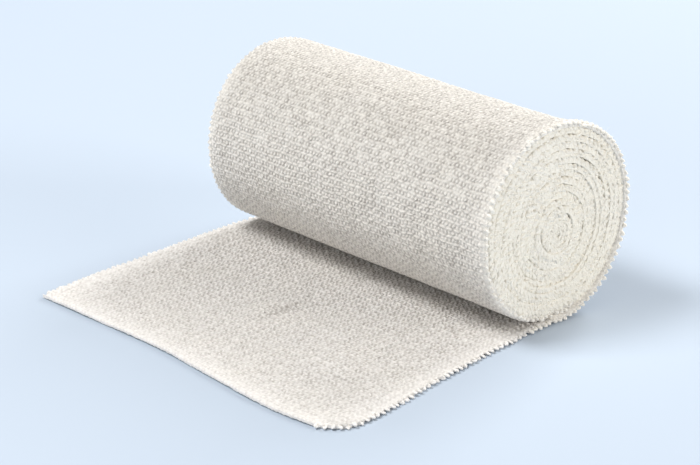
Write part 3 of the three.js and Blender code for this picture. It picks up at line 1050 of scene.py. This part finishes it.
# %% [markdown]
# ## The floor
# The roll stands on a plain, pale, matt floor, a little darker and bluer than the cloth, so that the
# white selvedges stand out from it.

# %% Pale floor
FLOOR_COLOUR = (0.48, 0.55, 0.64, 1)
FLOOR_SIZE = 6


def add_floor():
    material = bpy.data.materials.new("pale_floor")
    material.use_nodes = True
    surface = material.node_tree.nodes["Principled BSDF"]
    surface.inputs["Base Color"].default_value = FLOOR_COLOUR
    surface.inputs["Roughness"].default_value = 0.9
    surface.inputs["Specular IOR Level"].default_value = 0.1
    bpy.ops.mesh.primitive_plane_add(size=FLOOR_SIZE, location=(0, 0, 0))
    plane = bpy.context.object
    plane.name = "floor"
    plane.data.materials.append(material)
    return plane


floor = add_floor()
print("floor,", floor.dimensions.x, "m wide")

# %% [markdown]
# ## The light
# The light is soft and comes from four sides. The key light stands above, to the left and a little
# behind, so that the bumps of the crepe cast small shadows towards the viewer. A wide light in front, to
# the right, opens up the end face without reaching far over the free end, because the roll is in its way.
# A low light behind on the right brightens the top of the roll, and a weak one on the left reaches in
# under it. A dim sky fills the rest.

# %% Softboxes and sky
ROLL_MIDDLE = (0, 0, 0.02)
WHITE, WARM_WHITE = (1, 1, 1), (1, 0.975, 0.93)
SOFTBOXES = [                    # name, place and size in metres, watts, colour
    ("key", (-0.5, 0.35, 1.0), (0.45, 0.45), 10.4, WHITE),
    ("front", (0.6, -1.2, 0.45), (0.8, 0.6), 11, WARM_WHITE),
    ("rim", (1.0, 0.15, 0.6), (0.5, 0.5), 12, WHITE),
    ("fill", (-1.2, -0.4, 0.35), (1.0, 0.5), 5.2, WHITE),
]
SKY_COLOUR, SKY_STRENGTH = (1, 0.985, 0.965, 1), 0.3


def add_softbox(name, place, size, power, colour):
    lamp = bpy.data.lights.new(name, "AREA")
    lamp.color = colour
    lamp.shape = "RECTANGLE"
    lamp.size, lamp.size_y = size
    lamp.energy = power
    lamp_object = bpy.data.objects.new(name, lamp)
    lamp_object.location = place
    lamp_object.rotation_mode = "QUATERNION"
    lamp_object.rotation_quaternion = (Vector(ROLL_MIDDLE) - Vector(place)).to_track_quat("-Z", "Y")
    bpy.context.scene.collection.objects.link(lamp_object)


def add_sky():
    world = bpy.context.scene.world or bpy.data.worlds.new("studio")
    bpy.context.scene.world = world
    world.use_nodes = True
    background = world.node_tree.nodes["Background"]
    background.inputs["Color"].default_value = SKY_COLOUR
    background.inputs["Strength"].default_value = SKY_STRENGTH
    bpy.context.scene.view_settings.view_transform = "Standard"


for softbox in SOFTBOXES:
    add_softbox(*softbox)
add_sky()
print(len(SOFTBOXES), "softboxes and a sky of strength", SKY_STRENGTH)

# %% [markdown]
# ## The camera
# The camera stands in front and to the left, some way above, with a long lens, so that the roll's two
# ends look nearly the same size. Its place is given as a direction and a distance from a point near the
# roll, which is easier to adjust than three coordinates and three angles.

# %% Long lens
AZIMUTH, ELEVATION, ROLL = math.radians(-42.613), math.radians(21.44), math.radians(-0.5)
DISTANCE = 0.56146
LOOK_AT = Vector((-0.02967, -0.01140, 0.0200))
SENSOR_WIDTH, FOCAL_LENGTH = 36, 125.66                # millimetres


def add_camera():
    back = Vector((math.sin(AZIMUTH) * math.cos(ELEVATION), -math.cos(AZIMUTH) * math.cos(ELEVATION),
                   math.sin(ELEVATION)))
    level = Vector((math.cos(AZIMUTH), math.sin(AZIMUTH), 0))
    upright = back.cross(level)
    right = level * math.cos(ROLL) + upright * math.sin(ROLL)
    up = upright * math.cos(ROLL) - level * math.sin(ROLL)
    camera = bpy.data.objects.new("camera", bpy.data.cameras.new("camera"))
    camera.data.sensor_width = SENSOR_WIDTH
    camera.data.lens = FOCAL_LENGTH
    camera.data.clip_start, camera.data.clip_end = 0.01, 50
    axes = Matrix((right, up, back)).transposed()
    camera.matrix_world = Matrix.Translation(LOOK_AT + back * DISTANCE) @ axes.to_4x4()
    bpy.context.scene.collection.objects.link(camera)
    bpy.context.scene.camera = camera
    return camera


camera = add_camera()
print("camera at", [round(x, 3) for x in camera.matrix_world.translation])
